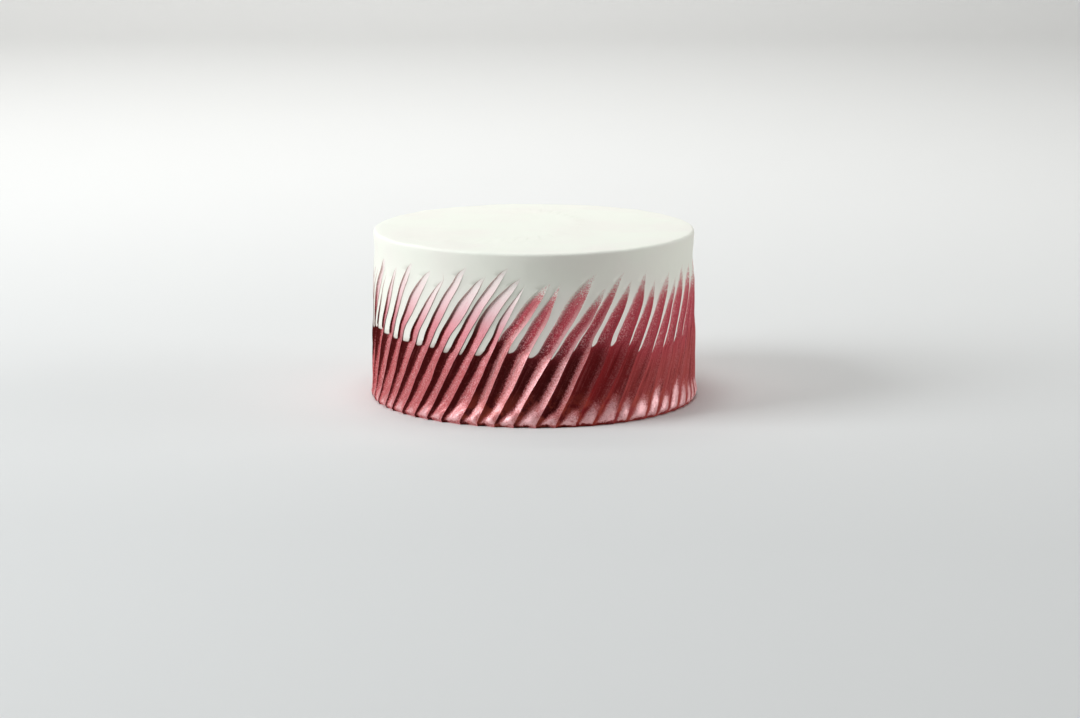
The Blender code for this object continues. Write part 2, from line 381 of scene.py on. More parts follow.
def stroke_columns(design, stroke, left_stroke, left, right, height):
    """Return (azimuth, offset from the wall, place across the hollow) for a stroke's mesh columns."""
    width = right - left
    width_m = math.radians(width) * design.wall_radius
    floor, tip = stroke.slot_floor_mm * MM, stroke.tip_mm * MM
    parted = ease(floor - PARTING, floor - 0.1 * PARTING, height)
    opened = ease(floor - 0.5 * OPENING, floor + OPENING, height)
    left_rise = crest_rise(design, left_stroke, height)
    rise = crest_rise(design, stroke, height)
    foot = mix(design.foot_hollow, 1.0, ease(CREST_HEIGHTS[0], FLARE_TOP, height))
    depth = (design.crest_rise + design.trough_depth) * ease(tip, tip - TIP_FADE, height) * foot
    depth *= 1.0 - RIGHT_SHALLOWING * redness(stroke)
    leaf_share = leaf_share_of(stroke, height, width)
    slot = 1.0 - leaf_share
    leaf_depth = depth * min(leaf_share * width_m / FULL_LEAF_WIDTH, 1.0) * design.leaf_hollow
    drops = [
        min(step * MM / width_m, slot * MOST_DROP_SHARE * place) for place, step in enumerate(OPEN_DROP_MM)
    ]
    open_shares = drops + [0.5 * (drops[-1] + slot), slot]
    open_levels = [left_rise * level for level in OPEN_DROP_LEVELS]
    open_shares += [slot + leaf_share * across for across in LEAF_ACROSS]
    open_levels += [rise * across - leaf_depth * hollow(across, LEAF_SKEW) for across in LEAF_ACROSS]
    columns = []
    for place, (open_share, open_level) in enumerate(zip(open_shares, open_levels)):
        share = mix(SHUT_SHARES[place], open_share, parted)
        shut_level = mix(left_rise, rise, share) - depth * hollow(share, HOLLOW_SKEW)
        scoop = mix(share, max(ACROSS[place], 0.0), opened)
        columns.append((left + width * share, mix(shut_level, open_level, opened), scoop))
    return columns


def foot_bulge(design, stroke, share, height):
    """How far a stroke's rounded end bulges at the base, with its gentle side to the light."""
    level = ease(*BULGE_FADE, height) * ease(*BULGE_RISE, height)
    skew = mix(*FOOT_SKEW, ease(0.0, FULLY_SKEWED_RED, redness(stroke)))
    return design.foot_bulge * level * math.sin(math.pi * share ** skew) ** BULGE_SECTION_POWER


def foot_offset(design, turn, place, height):
    """How far the foot stands out: a flare that fades upwards, with the lip and tuck at the base."""
    flare = design.foot_flare * (1.0 - ease(FLARE_LOW, FLARE_TOP, height))
    tuck = BASE_TUCK * (1.0 - ease(0.0, TUCK_TOP, height))
    ragged = RAGGED * unevenness(turn * RAGGED_TURNS, place, height / MM, RAGGED_WAVE)
    return flare - tuck + ragged * (1.0 - ease(*RAGGED_FADE, height))


def wall_ring(design, strokes, height, plain, inset):
    """Return a ring's points and their places across their hollows.

    Plain blends the columns from where the strokes put them to even steps.
    """
    crests = crest_ring(strokes, height)
    count = COLUMNS_PER_STROKE * len(strokes)
    start = crests[-1] - 360.0
    points, scoops = [], []
    for number, stroke in enumerate(strokes):
        left = crests[number - 1] - (360.0 if number == 0 else 0.0)
        columns = stroke_columns(design, stroke, strokes[number - 1], left, crests[number], height)
        for place, (azimuth, offset, scoop) in enumerate(columns):
            even = start + 360.0 * (number * COLUMNS_PER_STROKE + place) / count
            turn = math.radians(mix(azimuth, even, plain))
            lip = 1.0 - ease(LIP_TOP * 0.5, LIP_TOP, height)
            offset = mix(offset, max(offset, LIP_SHELF), lip)
            offset += foot_bulge(design, stroke, SHUT_SHARES[place], height)
            offset = offset * (1.0 - plain) + foot_offset(design, turn, place, height)
            sway = SWAY * unevenness(math.sin(turn), math.cos(turn), height / SWAY_HEIGHT, SWAY_WAVE)
            waist = design.rim_waist * math.exp(-((height - WAIST_HEIGHT) / WAIST_SPREAD) ** 2)
            radius = design.wall_radius + offset + sway - waist - inset
            points.append(Vector((radius * math.sin(turn), -radius * math.cos(turn), height)))
            scoops.append(scoop)
    return points, scoops


def wall_heights(design):
    """Heights of the rings up the wall, closer together at the foot and along the leaves."""
    rim_start = design.height - design.rim_round
    heights = [FOOT_ZONE * step / FOOT_RINGS for step in range(FOOT_RINGS)]
    heights += [mix(FOOT_ZONE, LEAF_ZONE, step / LEAF_RINGS) for step in range(LEAF_RINGS)]
    heights += [mix(LEAF_ZONE, rim_start, step / PLAIN_RINGS) for step in range(PLAIN_RINGS + 1)]
    return heights


def top_lift(point):
    """Faint spatula marks: each is a low step round a circle, sharp outside and soft inside."""
    lift = 0.0
    for centre_x, centre_y, radius, step in SPATULA_MARKS:
        inside = radius * MM - math.hypot(point.x - centre_x * MM, point.y - centre_y * MM)
        lift += step * MM * ease(0.0, MARK_EDGE, inside) * ease(MARK_FADE, MARK_EDGE, inside)
    lift += TOP_SWELL * unevenness(point.x, point.y, 0.0, TOP_WAVE)
    return lift


def cake_rings(design, strokes):
    """Return every ring of the outside, from the base edge to the ring next to the top's centre.

    With them come the places across the hollows, for the rings up the wall.
    """
    rim_start = design.height - design.rim_round
    rings, scoops = [], []
    for height in wall_heights(design):
        ring, ring_scoops = wall_ring(design, strokes, height, ease(LEAF_ZONE, rim_start, height), 0.0)
        rings.append(ring)
        scoops.append(ring_scoops)
    for step in range(1, RIM_RINGS + 1):
        turn = 0.5 * math.pi * step / RIM_RINGS
        height = rim_start + design.rim_round * math.sin(turn)
        ring, _ = wall_ring(design, strokes, height, 1.0, design.rim_round * (1.0 - math.cos(turn)))
        for point in ring:
            wave = unevenness(point.x, point.y, 0.0, RIM_WAVE)
            wave += RIM_RIPPLE * unevenness(point.x, point.y, 0.0, RIM_RIPPLE_WAVE)
            point.z += RIM_SWELL * wave * step / RIM_RINGS
        rings.append(ring)
    edge = rings[-1]
    for step in range(1, TOP_RINGS):
        share = 1.0 - step / TOP_RINGS
        ring = []
        for point in edge:
            spot = Vector((point.x * share, point.y * share, 0.0))
            fade = ease(1.0, TOP_EDGE_SHARE, share)
            spot.z = mix(point.z, design.height + top_lift(spot), fade)
            ring.append(spot)
        rings.append(ring)
    return rings, scoops


def raised_cake(design, rings):
    """Raise a closed body from a disc: its edge is extruded ring by ring and drawn in at the top."""
    count = len(rings[0])
    shape = bmesh.new()
    ring_of = shape.verts.layers.int.new("ring")
    column_of = shape.verts.layers.int.new("column")
    bmesh.ops.create_circle(
        shape, cap_ends=True, cap_tris=True, segments=count, radius=design.wall_radius,
    )
    for vert in shape.verts:
        if vert.co.length > MERGE_DISTANCE:
            turn = math.atan2(vert.co.y, vert.co.x)
            vert[column_of] = round(turn * count / (2.0 * math.pi)) % count
            vert[ring_of] = 1
            vert.co = rings[0][vert[column_of]]
    edges = [edge for edge in shape.edges if edge.is_boundary]
    for number in range(2, len(rings) + 2):
        made = bmesh.ops.extrude_edge_only(shape, edges=edges)["geom"]
        verts = [item for item in made if isinstance(item, bmesh.types.BMVert)]
        edges = [item for item in made if isinstance(item, bmesh.types.BMEdge)]
        for vert in verts:
            vert[ring_of] = number
            if number <= len(rings):
                vert.co = rings[number - 1][vert[column_of]]
    bmesh.ops.pointmerge(shape, verts=verts, merge_co=(0.0, 0.0, design.height))
    shape.normal_update()
    bmesh.ops.recalc_face_normals(shape, faces=shape.faces)
    return shape, ring_of, column_of


def stroke_marks(strokes):
    """Return each stroke's tone, dryness, start of its painted lit part and redness, by where it stands.

    Strokes that face the left fade smoothly, and those that face the right break up into grains.
    """
    draw = random.Random(BACK_SEED)
    marks = []
    for stroke in strokes:
        turn = stroke.band
        back = ease(*BACK_TURN, turn)
        dry = ease(*DRY_FROM, turn) * (1.0 - back)
        lit_from = LIT_FROM[-1][1]
        for (low, first), (high, second) in zip(LIT_FROM, LIT_FROM[1:]):
            if low <= turn < high:
                lit_from = mix(first, second, (turn - low) / (high - low))
        marks.append((draw.random(), dry, mix(lit_from, LIT_FROM[0][1], back), redness(stroke)))
    return marks


def mark_strokes(shape, ring_of, column_of, strokes, rings, scoops):
    """Store on each face corner where it lies on its stroke, for the frosting's colours."""
    names = ("across", "scoop", "climb", "tone", "dry", "lit_from", "red")
    layers = [shape.loops.layers.float.new(name) for name in names]
    marks = stroke_marks(strokes)
    across = ACROSS + (1.0,)
    count = len(rings[0])
    leaf_rings = FOOT_RINGS + LEAF_RINGS + 1
    heights = [ring[0].z for ring in rings]
    for face in shape.faces:
        columns = [vert[column_of] for vert in face.verts if 0 < vert[ring_of] <= len(rings)]
        column = min(columns)
        if max(columns) - column > 1:
            column = count - 1
        number, place = divmod(column, COLUMNS_PER_STROKE)
        stroke = strokes[number]
        for loop in face.loops:
            ring = loop.vert[ring_of]
            step = place + min((loop.vert[column_of] - column) % count, 1)
            on_wall = 0 < ring <= leaf_rings
            height = heights[ring - 1] if on_wall else 0.0
            climb = climb_of(stroke, height) if on_wall or ring == 0 else 2.0
            scoop = 1.0
            if step < COLUMNS_PER_STROKE:
                scoop = scoops[ring - 1][number * COLUMNS_PER_STROKE + step] if on_wall else 0.0
            for layer, value in zip(layers, (across[step], scoop, climb) + marks[number]):
                loop[layer] = value


class Wire:
    """One node socket that sums can be written on."""

    def __init__(self, bench, socket):
        self.bench = bench
        self.socket = socket

    def maths(self, operation, first, second):
        return self.bench.make("ShaderNodeMath", {"operation": operation}, {0: first, 1: second})

    def __add__(self, other):
        return self.maths("ADD", self, other)

    def __radd__(self, other):
        return self.maths("ADD", other, self)

    def __sub__(self, other):
        return self.maths("SUBTRACT", self, other)

    def __rsub__(self, other):
        return self.maths("SUBTRACT", other, self)

    def __mul__(self, other):
        return self.maths("MULTIPLY", self, other)

    def __rmul__(self, other):
        return self.maths("MULTIPLY", other, self)

    def __truediv__(self, other):
        return self.maths("DIVIDE", self, other)

    def at_least(self, other):
        return self.maths("MAXIMUM", self, other)

    def at_most(self, other):
        return self.maths("MINIMUM", self, other)


class Bench:
    """Where the nodes of one material are put together."""

    def __init__(self, name):
        self.material = bpy.data.materials.new(name)
        self.material.use_nodes = True
        self.tree = self.material.node_tree
        self.tree.nodes.clear()
        self.place = self.make("ShaderNodeTexCoord", {}, {}, "Object")

    def make(self, kind, settings, sockets, output=0):
        """Add a node, set it, fill its sockets with values or wires, and return an output."""
        node = self.tree.nodes.new(kind)
        for key, value in settings.items():
            if key == "stops":
                self.set_stops(node.color_ramp, value)
            else:
                setattr(node, key, value)
        for key, value in sockets.items():
            if isinstance(value, Wire):
                self.tree.links.new(value.socket, node.inputs[key])
            else:
                node.inputs[key].default_value = value
        return Wire(self, node.outputs[output])

    def set_stops(self, ramp, stops):
        """Set a ramp's stops from (position, colour) pairs."""
        while len(ramp.elements) < len(stops):
            ramp.elements.new(0.5)
        for element, (position, colour) in zip(ramp.elements, stops):
            element.position = position
            element.color = colour

    def corner(self, name):
        """A number that the mesh stores at its face corners."""
        return self.make("ShaderNodeAttribute", {"attribute_name": name}, {}, "Fac")

    def ease(self, low, high, value):
        """Ease from 0 at low to 1 at high."""
        settings = {"interpolation_type": "SMOOTHSTEP"}
        return self.make("ShaderNodeMapRange", settings, {0: value, 1: low, 2: high, 3: 0.0, 4: 1.0})

    def grain(self, scale, detail, roughness, vector=None):
        """Noise between 0 and 1 with its grain about 1 / scale metres wide."""
        sockets = {"Vector": vector or self.place, "Scale": scale, "Detail": detail, "Roughness": roughness}
        return self.make("ShaderNodeTexNoise", {}, sockets, "Fac")

    def colour(self, share, first, second):
        """Mix two colours by a share."""
        return self.make("ShaderNodeMix", {"data_type": "RGBA"}, {0: share, 6: first, 7: second}, 2)

    def bump(self, height, strength, distance, normal=None):
        """A bump of a height socket, on top of another normal if one is given."""
        sockets = {"Height": height, "Strength": strength, "Distance": distance}
        if normal is not None:
            sockets["Normal"] = normal
        return self.make("ShaderNodeBump", {}, sockets, "Normal")

    def surface(self, sockets):
        """Finish the material with a Principled shader."""
        shader = self.make("ShaderNodeBsdfPrincipled", {}, sockets, "BSDF")
        output = self.tree.nodes.new("ShaderNodeOutputMaterial")
        self.tree.links.new(shader.socket, output.inputs["Surface"])
        return self.material


def rgba(colour):
    """A colour with full alpha."""
    return (colour[0], colour[1], colour[2], 1.0)


def read_spot(bench):
    """Read the marks and grains of a place on the frosting."""
    climb = bench.corner("climb")
    return Spot(
        across=bench.corner("across"),
        scoop=bench.corner("scoop"),
        climb=climb,
        on_leaf=bench.ease(*LEAF_START, climb),
        tone=bench.corner("tone"),
        dry=bench.corner("dry"),
        lit_from=bench.corner("lit_from"),
        red=bench.corner("red"),
        height=bench.make("ShaderNodeSeparateXYZ", {}, {0: bench.place}, "Z"),
        dust=bench.grain(*DUST) - 0.5,
        speck=bench.grain(*SPECK) - 0.5,
        blotch=bench.grain(*BLOTCH) - 0.5,
        patch=bench.grain(*PATCH) - 0.5,
        cloud=bench.grain(*CLOUD) - 0.5,
    )


def streak_grain(bench, spot):
    """Grain drawn out along the stroke, different on each."""
    sockets = {
        0: spot.scoop * STREAKS_ACROSS,
        1: spot.height * STREAKS_UP,
        2: spot.tone * STREAK_JUMP,
    }
    place = bench.make("ShaderNodeCombineXYZ", {}, sockets)
    return bench.grain(*STREAK, place) - 0.5


def painted_share(bench, spot):
    """Where there is paint: the band, with the slots' round ends cut out of it, and the leaves.

    A dry leaf stays covered low down and right of its left edge, and breaks up towards its tip.
    """
    across, climb = spot.across, spot.climb
    slot_end = (across * 2.0 + 1.0).at_most(1.0).at_least(-1.0)
    slot_end = slot_end * slot_end
    band_top = (slot_end + slot_end * slot_end) * SLOT_ROUNDING
    in_band = bench.ease(*BAND_EDGE, climb - band_top + spot.patch * 0.03)
    in_leaf = bench.ease(*LEAF_EDGE, across + spot.speck * 0.05)
    under_tip = bench.ease(*TIP_EDGE, climb + spot.speck * 0.10)
    push = bench.ease(-0.08, 0.45, across) * 0.48 + bench.ease(0.85, 0.05, climb) * 0.42
    pull = bench.ease(0.60, 1.05, climb) * 0.36 + bench.ease(0.85, 1.0, across) * climb * 0.12
    cover = bench.ease(*COVER_EDGE, push - pull + spot.dust * 1.1 + spot.speck * 0.4)
    kept = 1.0 - spot.dry * spot.on_leaf * (1.0 - cover)
    return in_band.at_least(in_leaf) * under_tip * kept


def lit_share(bench, spot):
    """How far a place is on the part of its stroke that faces the key light, where light is painted on; the
    rest gets painted shade.

    Its edge moves left up a smooth leaf, right under the slots, and is rougher where paint is dry.
    """
    climb, dry = spot.climb, spot.dry
    leaf_edge = (spot.lit_from * 1.15 + 0.02) * (1.0 - bench.ease(0.02, 0.80, climb) * 0.88)
    under_slot = (bench.ease(-0.75, 0.0, climb) - 0.4) * (1.0 - dry) * 0.20
    band_edge = spot.lit_from + under_slot
    lit_edge = band_edge + (leaf_edge - band_edge) * spot.on_leaf * (1.0 - dry) + dry * spot.on_leaf * 0.16
    rough_edge = spot.speck * 0.12 + spot.dust * (0.14 + dry * 0.20)
    lit = bench.ease(-0.12, 0.12, spot.scoop - lit_edge + rough_edge)
    # The painted light fades out on the strokes to the right as their redness grows.
    dull = bench.ease(-0.02, 0.14, spot.red) * 0.88
    return lit * (1.0 - dry * bench.ease(0.35, 0.95, climb)) * (1.0 - dull)


def shaded_paint(bench, design, spot):
    """Painted shade: the darker copy of the paint in the hollows, maroon in the band, lightening to deep
    red and red towards the right, and a pale shadow colour up the leaves.
    """
    climb, red = spot.climb, spot.red
    shade = bench.colour(bench.ease(0.2, 1.0, climb), rgba(design.maroon), rgba(design.shadow))
    shade = bench.colour(bench.ease(0.0, 0.35, red), shade, rgba(design.deep_red))
    shade = bench.colour(bench.ease(0.35, 1.0, red), shade, rgba(design.red))
    warming = bench.ease(-0.15, 0.50, climb + spot.scoop * 0.30 + red * 0.35 + spot.dust * 0.5)
    return bench.colour(spot.dry * warming * bench.ease(-0.35, 0.25, climb), shade, rgba(design.crimson))


def lit_paint(bench, design, spot):
    """Painted light: the lighter copy of the paint where a stroke faces the key light, rose in the band,
    and thinner up the leaves till it is cream.
    """
    stops = (
        (0.0, rgba(design.rose)),
        (0.30, rgba(design.pink)),
        (0.60, rgba(design.blush)),
        (0.92, rgba(design.cream)),
    )
    place = bench.ease(-0.30, 1.22, spot.climb + spot.patch * 0.16 + spot.speck * 0.12)
    body = bench.make("ShaderNodeValToRGB", {"stops": stops}, {0: place}, "Color")
    body = bench.colour(spot.dry, body, rgba(design.dry_pink))
    return bench.colour(bench.ease(0.0, 0.5, spot.red) * 0.6, body, rgba(design.crimson))


def stroke_paint(bench, design, spot, lit, streak, painted):
    """The paint of a stroke, with painted light and shade, streaks along it, a dry leaf's painted highlight
    on its right crest and painted shade over its right part, and the light and dark grains of a dry leaf.
    """
    climb, scoop, dust, red = spot.climb, spot.scoop, spot.dust, spot.red
    dry_leaf = spot.dry * spot.on_leaf
    # Painted shade in the hollows, then painted light on the part that faces the key light.
    half_lit = bench.ease(0.0, 0.5, lit) * bench.ease(0.6, 0.2, climb)
    paint = bench.colour(half_lit, shaded_paint(bench, design, spot), rgba(design.rose))
    paint = bench.colour(bench.ease(0.2, 1.0, lit), paint, lit_paint(bench, design, spot))

    light_streak = bench.ease(0.02, 0.20, streak + dust * 0.5) * (0.12 + red * 0.25)
    dark_streak = bench.ease(-0.02, -0.18, streak + dust * 0.3) * (0.30 + red * 0.35)
    dark_streak = dark_streak * painted * bench.ease(0.7, 0.1, climb)
    paint = bench.colour(light_streak, paint, rgba(design.dry_pink))
    paint = bench.colour(dark_streak, paint, rgba(design.maroon))

    # Painted highlight: a pale pink line along the right crest of a dry leaf in the middle.
    right_edge_highlight = bench.ease(0.62, 0.94, scoop + dust * 0.4) * bench.ease(0.85, 0.25, climb)
    right_edge_highlight = right_edge_highlight * dry_leaf * bench.ease(0.12, 0.0, red)
    paint = bench.colour(right_edge_highlight * 0.75, paint, rgba(design.pearl_and_highlight_tint))
    # Painted shade: the right part of a dry leaf is drawn darker, broken up by streaks.
    dark_side_shade = bench.ease(0.95, 0.35, climb) * dry_leaf * bench.ease(0.25, 0.80, scoop)
    dark_side_shade = dark_side_shade * bench.ease(-0.10, 0.20, streak + spot.speck * 0.5)
    paint = bench.colour(dark_side_shade * (1.0 - right_edge_highlight) * 0.42, paint, rgba(design.maroon))
    light_grain = bench.ease(-0.04, 0.18, dust + spot.speck * 0.4) * dry_leaf * bench.ease(1.0, 0.1, scoop)
    return bench.colour(light_grain * 0.75, paint, rgba(design.pearl_and_highlight_tint))


def foot_shares(bench, spot):
    """How far a stroke's rounded end gets a painted pink glow, and how far it carries pearl with a painted
    highlight, above the bare lip.
    """
    reach = spot.tone * FOOT_TONE_REACH + spot.red * FOOT_RED_REACH + FOOT_REACH
    side = spot.scoop - FOOT_MIDDLE - spot.lit_from * 0.16
    dome = spot.height / reach + side * side * 3.0 + spot.blotch * 0.9
    level = spot.height + spot.patch * LIP_PATCH + spot.blotch * LIP_BLOTCH
    foot = bench.ease(1.10, 0.30, dome) * bench.ease(*PEARL_LIP, level)
    glow_grain = spot.dust * 0.7 + spot.blotch * 0.8 - spot.red * 0.08
    pearl_highlight_grain = spot.dust * 1.5 + spot.blotch * 1.3 + spot.patch * 0.4 + spot.red * 0.10
    return bench.ease(0.05, 0.60, foot + glow_grain), bench.ease(0.50, 1.10, foot + pearl_highlight_grain)


def wall_colour(bench, design, spot):
    """Bare frosting: white with warmer clouds, paint dust by dry leaves, and a painted highlight that makes
    the slots there lighter.
    """
    warm = bench.ease(-0.15, 0.20, spot.cloud) * 0.35
    wall = bench.colour(warm, rgba(design.white), rgba(design.cream))
    dusted = spot.dry * bench.ease(1.0, 0.1, spot.climb) * bench.ease(-0.25, 0.30, spot.dust) * 0.16
    wall = bench.colour(dusted, wall, rgba(design.pink))
    # Painted highlight: the slots beside dry leaves are drawn lighter than plain white.
    slot_highlight = spot.dry * bench.ease(-0.95, -0.75, spot.across) * bench.ease(0.9, 0.4, spot.climb)
    return bench.colour(slot_highlight * bench.ease(0.1, -0.1, spot.across), wall, rgba(design.slot_highlight))


def crest_shadow_line(bench, spot):
    """Painted shadow: the thin dark line where a smooth leaf's right crest drops to the slot beside it."""
    climb = spot.climb
    line = bench.ease(-0.70, -0.90, spot.across) * bench.ease(-0.03, 0.02, climb)
    return line * bench.ease(0.95, 0.75, climb) * (1.0 - spot.dry * 0.85) * 0.9


def frosting_material(design):
    """White frosting with red pearl strokes that thin out to blush and cream towards their tips, with
    light, shade and highlights painted on.
    """
    bench = Bench("pearl_stroke_frosting")
    spot = read_spot(bench)
    streak = streak_grain(bench, spot)
    painted = painted_share(bench, spot)
    lit = lit_share(bench, spot)
    foot_painted_glow, foot_pearl_and_highlight = foot_shares(bench, spot)

    paint = stroke_paint(bench, design, spot, lit, streak, painted)
    ember = bench.ease(*EMBER_FADE, spot.height) * spot.dry * bench.ease(-0.08, 0.10, spot.patch) * 0.45
    paint = bench.colour(ember, paint, rgba(design.ember))
    # Painted glow: the feet are drawn pink where the foot glow reaches.
    paint = bench.colour(foot_painted_glow * 0.75, paint, rgba(design.dry_pink))
    # Painted glints: pearl sparkle on the lit parts, fading up the leaves, and at the feet pearl dust with
    # a painted highlight.
    sparkle = spot.dust + spot.speck * 0.3 + spot.tone * 0.05 + spot.lit_from * 0.12
    sparkle = bench.ease(0.025, 0.225, sparkle)
    pearl = lit * sparkle * bench.ease(0.5, -0.1, spot.climb) * 0.62
    paint = bench.colour(pearl.at_least(foot_pearl_and_highlight * 0.92), paint, rgba(design.pearl_and_highlight_tint))
    # Colour of the painted crest shadow: maroon low down, the pale shadow colour higher up.
    line = bench.colour(bench.ease(0.1, 0.8, spot.climb), rgba(design.maroon), rgba(design.shadow))
    colour = bench.colour(painted, wall_colour(bench, design, spot), paint)
    colour = bench.colour(crest_shadow_line(bench, spot), colour, line)

    lower = 1.0 - bench.ease(0.0, 0.45, spot.climb) * 0.85
    shine = painted * (lit * lit * lower * 0.8).at_least(foot_pearl_and_highlight)
    normal = bench.bump(spot.patch, 0.20, PATCH_BUMP)
    normal = bench.bump(streak * painted, 0.30, STREAK_BUMP, normal)
    normal = bench.bump(spot.dust * (painted * 0.2 + 0.06 + shine), 1.0, DUST_BUMP, normal)
    return bench.surface({
        "Base Color": colour,
        "Metallic": shine * design.pearl,
        "Roughness": 0.60 - shine * 0.24 + spot.dust * 0.14,
        "Normal": normal,
        "IOR": 1.46,
        "Specular IOR Level": 0.06,
        "Coat Weight": shine * (1.0 - foot_pearl_and_highlight * 0.5) * design.coat,
        "Coat Roughness": 0.32,
        "Coat IOR": 1.7,
    })


def studio_material(name, colour):
    """Pale matt paper for the sweep."""
    bench = Bench(name)
    pale = bench.colour(bench.grain(*PAPER_CLOUD) * 0.06, rgba(colour), (1.0, 1.0, 1.0, 1.0))
    normal = bench.bump(bench.grain(*PAPER_TOOTH), 0.05, 0.1 * MM)
    return bench.surface({"Base Color": pale, "Roughness": 0.85, "Normal": normal})


def link_mesh(name, shape, material):
    """Turn a bmesh into a smooth object of the scene."""
    mesh = bpy.data.meshes.new(name)
    shape.to_mesh(mesh)
    shape.free()
    mesh.shade_smooth()
    mesh.set_sharp_from_angle(angle=SMOOTH_BELOW)
    mesh.materials.append(material)
    piece = bpy.data.objects.new(name, mesh)
    bpy.context.scene.collection.objects.link(piece)
    return piece


class FrostingDesign(bpy.types.PropertyGroup):
    """Sizes and colours of the frosting."""

    wall_radius: bpy.props.FloatProperty(
        name="Wall radius", description="Radius of the bare frosted wall",
        default=0.0924, unit="LENGTH",
    )
    height: bpy.props.FloatProperty(
        name="Height", description="Height of the cake", default=CAKE_HIGH.z, unit="LENGTH",
    )
    rim_round: bpy.props.FloatProperty(
        name="Rim round", description="Radius of the round between side and top",
        default=0.0017, unit="LENGTH",
    )
    crest_rise: bpy.props.FloatProperty(
        name="Crest rise", description="How far a stroke's crest stands out of the wall",
        default=0.0014, unit="LENGTH",
    )
    trough_depth: bpy.props.FloatProperty(
        name="Trough depth", description="How deep a stroke's hollow lies in the wall",
        default=0.0015, unit="LENGTH",
    )
    leaf_hollow: bpy.props.FloatProperty(
        name="Leaf hollow", description="Depth of a leaf's hollow, as a share of a full stroke's",
        default=0.42, min=0.0, max=1.0, subtype="FACTOR",
    )
    foot_hollow: bpy.props.FloatProperty(
        name="Foot hollow", description="Depth of the hollows at the foot, as a share of their full depth",
        default=0.55, min=0.0, max=1.0, subtype="FACTOR",
    )
    foot_flare: bpy.props.FloatProperty(
        name="Foot flare", description="How far the strokes flare out at the base",
        default=0.0006, unit="LENGTH",
    )
    foot_bulge: bpy.props.FloatProperty(
        name="Foot bulge", description="How far the end of each stroke bulges at the base",
        default=0.0016, unit="LENGTH",
    )
    rim_waist: bpy.props.FloatProperty(
        name="Rim waist", description="How far the wall draws in under the rim",
        default=0.0009, unit="LENGTH",
    )
    pearl: bpy.props.FloatProperty(
        name="Pearl", description="How metallic the lit strokes look",
        default=0.36, min=0.0, max=1.0, subtype="FACTOR",
    )
    coat: bpy.props.FloatProperty(
        name="Coat", description="Weight of the glossy coat on the lit strokes",
        default=0.75, min=0.0, max=1.0, subtype="FACTOR",
    )
    white: bpy.props.FloatVectorProperty(
        name="White", description="Plain frosting", default=(0.88, 0.88, 0.785), subtype="COLOR",
    )
    # Painted highlight: colour of the lit slots on the right, lighter than plain white.
    slot_highlight: bpy.props.FloatVectorProperty(
        name="Scraped", description="Frosting in the slots on the right",
        default=(1.0, 0.955, 0.885), subtype="COLOR",
    )
    cream: bpy.props.FloatVectorProperty(
        name="Cream", description="Warmer patches of plain frosting, and the leaves' ends",
        default=(0.87, 0.80, 0.75), subtype="COLOR",
    )
    blush: bpy.props.FloatVectorProperty(
        name="Blush", description="Thinnest paint, near the tips",
        default=(0.86, 0.58, 0.59), subtype="COLOR",
    )
    pink: bpy.props.FloatVectorProperty(
        name="Pink", description="Thin paint", default=(0.74, 0.26, 0.295), subtype="COLOR",
    )
    # Painted light: the lit copy of the full paint.
    rose: bpy.props.FloatVectorProperty(
        name="Rose", description="Full paint where it is lit", default=(0.57, 0.11, 0.115), subtype="COLOR",
    )
    # Painted light on the right-hand strokes; also their light streaks and the painted glow at the feet.
    dry_pink: bpy.props.FloatVectorProperty(
        name="Dry pink", description="Lit edges of the strokes on the right",
        default=(0.66, 0.19, 0.19), subtype="COLOR",
    )
    crimson: bpy.props.FloatVectorProperty(
        name="Crimson", description="Dry paint on the leaves", default=(0.58, 0.075, 0.10), subtype="COLOR",
    )
    deep_red: bpy.props.FloatVectorProperty(
        name="Deep red", description="Paint in the hollows right of the middle",
        default=(0.24, 0.014, 0.016), subtype="COLOR",
    )
    red: bpy.props.FloatVectorProperty(
        name="Red", description="Full paint on the right", default=(0.45, 0.072, 0.070), subtype="COLOR",
    )
    # Painted shade: colour of the hollows, also used for the darker streaks.
    maroon: bpy.props.FloatVectorProperty(
        name="Maroon", description="Paint in the hollows", default=(0.085, 0.006, 0.006), subtype="COLOR",
    )
    # Painted shade on the leaves' left edges and along the crests' shadow line.
    shadow: bpy.props.FloatVectorProperty(
        name="Shadow", description="Edges of the leaves, near their tips",
        default=(0.61, 0.43, 0.39), subtype="COLOR",
    )
    # Pearl dust grains, and painted highlights on the lit strokes, the dry leaves' right crests and the
    # feet.
    pearl_and_highlight_tint: bpy.props.FloatVectorProperty(
        name="Pearl tint", description="Pearl dust on the lit strokes and their feet",
        default=(1.0, 0.56, 0.57), subtype="COLOR",
    )
    ember: bpy.props.FloatVectorProperty(
        name="Ember", description="Warm patches near the base", default=(0.55, 0.10, 0.06), subtype="COLOR",
    )


class StudioDesign(bpy.types.PropertyGroup):
    """The paper sweep, the lights and the camera."""

    paper: bpy.props.FloatVectorProperty(
        name="Paper", description="Colour of floor and backdrop",
        default=(0.69, 0.685, 0.665), subtype="COLOR",
    )
    key_power: bpy.props.FloatProperty(
        name="Key power", description="Strength of the large light on the left",
        default=47.0, unit="POWER",
    )
    fill_power: bpy.props.FloatProperty(
        name="Fill power", description="Strength of the weak light on the right",
        default=21.0, unit="POWER",
    )
    top_power: bpy.props.FloatProperty(
        name="Top power", description="Strength of the soft light overhead",
        default=22.0, unit="POWER",
    )
    backdrop_power: bpy.props.FloatProperty(
        name="Backdrop power", description="Strength of the light on the backdrop",
        default=41.0, unit="POWER",
    )
    ambient: bpy.props.FloatProperty(
        name="Ambient", description="Strength of the even light all round", default=0.05, min=0.0,
    )
    lens: bpy.props.FloatProperty(
        name="Lens", description="Focal length of the camera, in millimetres", default=98.8,
    )


